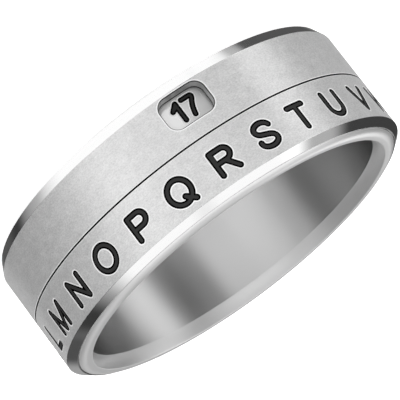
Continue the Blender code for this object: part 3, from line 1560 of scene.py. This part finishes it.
@dataclass(frozen=True)
class Card:
    """Light or dark card round the ring, as the metal sees it, with soft edges. Angles in degrees.

    Args:
        azimuth: direction of the card's middle.
        reach: half its width.
        low: elevation of its lower edge.
        high: elevation of its upper edge.
        soft: half the width of its soft edge.
        level: how light it is, where 1 is white.
    """

    azimuth: float
    reach: float
    low: float
    high: float
    soft: float
    level: float

    def cover(self, tree: NodeTree, way: Socket, middle: float, half: float) -> Socket:
        """How far the card covers a direction, measured one way.

        Args:
            tree: the world's node tree.
            way: the direction's azimuth or elevation, in radians.
            middle: the card's middle, in degrees.
            half: half its width.

        Returns:
            1 on the card and 0 beside it.
        """
        away = add_node(tree, "ShaderNodeMath", way, math.radians(middle), operation="SUBTRACT").outputs[0]
        wrapped = add_node(tree, "ShaderNodeMath", away, -math.pi, math.pi, operation="WRAP").outputs[0]
        offset = add_node(tree, "ShaderNodeMath", wrapped, operation="ABSOLUTE").outputs[0]
        ends = (math.radians(half + self.soft), math.radians(half - self.soft))
        edge = add_node(tree, "ShaderNodeMapRange", offset, *ends, interpolation_type="SMOOTHSTEP")
        return edge.outputs["Result"]

    def stand(self, tree: NodeTree, azimuth: Socket, elevation: Socket, behind: float | Socket) -> Socket:
        """Stand the card in front of what is there.

        Args:
            tree: the world's node tree.
            azimuth: direction looked at, in radians.
            elevation: its elevation, in radians.
            behind: level behind the card.

        Returns:
            The level with the card.
        """
        across = self.cover(tree, azimuth, self.azimuth, self.reach)
        up = self.cover(tree, elevation, (self.low + self.high) / 2, (self.high - self.low) / 2)
        share = add_node(tree, "ShaderNodeMath", across, up, operation="MULTIPLY").outputs[0]
        return add_node(tree, "ShaderNodeMix", share, data_type="FLOAT", A=behind, B=self.level).outputs[0]


ALL_ROUND = 200.0


@dataclass
class Studio:
    """Plain white surroundings with a floor that keeps the ring's shadow.

    Args:
        wall_level: level that the metal mirrors where no card stands.
        plain_level: strength of the plain light from all round.
        box_size: width of the softbox in metres.
        box_height: its height.
        box_radiance: how light it is.
        floor_size: width of the floor.
        floor_lift: light that the camera sees on the floor beside what the lamps give it.
        floor_colour: sRGB hex of the floor.
        cards: the cards, placed to whole degrees for what the metal mirrors in the photograph.
    """

    wall_level: float = 0.46
    plain_level: float = 1.0
    box_size: float = 0.36
    box_height: float = 0.3
    box_radiance: float = 0.9
    floor_size: float = 2.0
    floor_lift: float = 0.7
    floor_colour: str = "f4f4f4"
    cards: tuple[Card, ...] = (
        Card(0, ALL_ROUND, 57, 89, 6, 1.08),
        Card(97, 46, 55, 90, 6, 0.45),
        Card(-85, 113, -88, -52, 6, 1.11),
        Card(118, 69, -88, -19, 6, 0.09),
        Card(21, 41, -43, 49, 7, 0.04),
        Card(-69, 31, -49, -14, 6, 1.21),
        Card(-53, 15, -60, -32, 6, 1.53),
        Card(-48, 29, -15, -3, 4, 1.12),
        Card(-11, 17, -9, 0, 4, 1.28),
        Card(-83, 26, -11, 9, 5, 0.00),
        Card(-77, 25, 14, 27, 5, 1.13),
        Card(-162, 18, -50, -18, 5, 1.60),
        Card(-123, 20, -58, -16, 5, 0.00),
        Card(-113, 16, -14, 3, 4, 1.33),
        Card(-147, 13, -12, 17, 6, 0.93),
        Card(-177, 12, -19, -7, 5, 0.00),
        Card(-128, 9, 8, 56, 5, 0.02),
        Card(-171, 19, 27, 60, 5, 1.44),
        Card(142, 33, -9, 40, 5, 0.05),
        Card(117, 9, 17, 41, 4, 1.25),
        Card(99, 7, 5, 36, 5, 0.18),
        Card(90, 14, -13, 5, 5, 0.35),
        Card(150, 17, -20, -4, 5, 0.25),
        Card(60, 21, -9, 32, 6, 0.08),
    )

    def build_world(self) -> None:
        """Plain white light, with cards standing in it for what the metal mirrors."""
        world = bpy.data.worlds.new("studio")
        bpy.context.scene.world = world
        world.use_nodes = True
        tree = world.node_tree
        place = add_node(tree, "ShaderNodeTexCoord").outputs["Generated"]
        x, y, z = add_node(tree, "ShaderNodeSeparateXYZ", place).outputs
        azimuth = add_node(tree, "ShaderNodeMath", y, x, operation="ARCTAN2").outputs[0]
        elevation = add_node(tree, "ShaderNodeMath", z, operation="ARCSINE").outputs[0]
        level: float | Socket = self.wall_level
        for card in self.cards:
            level = card.stand(tree, azimuth, elevation, level)
        mirrored = add_node(tree, "ShaderNodeLightPath").outputs["Is Glossy Ray"]
        mix = add_node(tree, "ShaderNodeMix", mirrored, data_type="FLOAT", A=self.plain_level, B=level)
        set_inputs(tree.nodes["Background"], Color=(1, 1, 1, 1), Strength=mix.outputs[0])

    def build_floor(self) -> None:
        """White floor. Seen by the camera it is lifted to white, and keeps the ring's shadow."""
        mesh = bpy.data.meshes.new("floor")
        shape = bmesh.new()
        bmesh.ops.create_grid(shape, x_segments=1, y_segments=1, size=self.floor_size / 2)
        shape.to_mesh(mesh)
        shape.free()
        material, shader = new_material(
            "floor_white",
            Base_Color=linear(self.floor_colour),
            Roughness=1.0,
            Specular_IOR_Level=0.0,
            Emission_Color=(1, 1, 1, 1),
        )
        tree = material.node_tree
        seen = add_node(tree, "ShaderNodeLightPath").outputs["Is Camera Ray"]
        lift = add_node(tree, "ShaderNodeMath", seen, self.floor_lift, operation="MULTIPLY").outputs[0]
        set_inputs(shader, Emission_Strength=lift)
        mesh.materials.append(material)
        floor = add_object("floor", mesh)
        floor.visible_glossy = False
        floor.visible_shadow = False

    def build_softbox(self) -> None:
        """Large soft lamp overhead, which the metal doesn't mirror as a disc."""
        data = bpy.data.lights.new("softbox", "AREA")
        data.shape = "DISK"
        data.size = self.box_size
        # A flat lamp gives off pi times its area times its radiance
        data.energy = self.box_radiance * math.pi * math.pi * (self.box_size / 2) ** 2
        lamp = bpy.data.objects.new("softbox", data)
        lamp.location = (0, 0, self.box_height)
        lamp.visible_glossy = False
        bpy.context.scene.collection.objects.link(lamp)

    def build(self) -> None:
        """Add the world, the floor and the lamp."""
        bpy.context.scene.view_settings.view_transform = "Standard"
        self.build_world()
        self.build_floor()
        self.build_softbox()


class Build(Enum):
    """What is built, in order."""

    SLEEVE = CoreSleeve
    COLLAR = RetainingCollar
    LETTERS = LetterBand
    WINDOW = WindowBand


def main() -> None:
    """Build the ring's pieces, the studio and the camera."""
    logging.basicConfig(level=logging.INFO, format="%(name)s: %(message)s")
    Viewpoint().build()
    for step in Build:
        for piece in step.value().build():
            log.info("%s: %d faces", piece.name, len(piece.data.polygons))
    Studio().build()


if __name__ == "__main__":
    main()
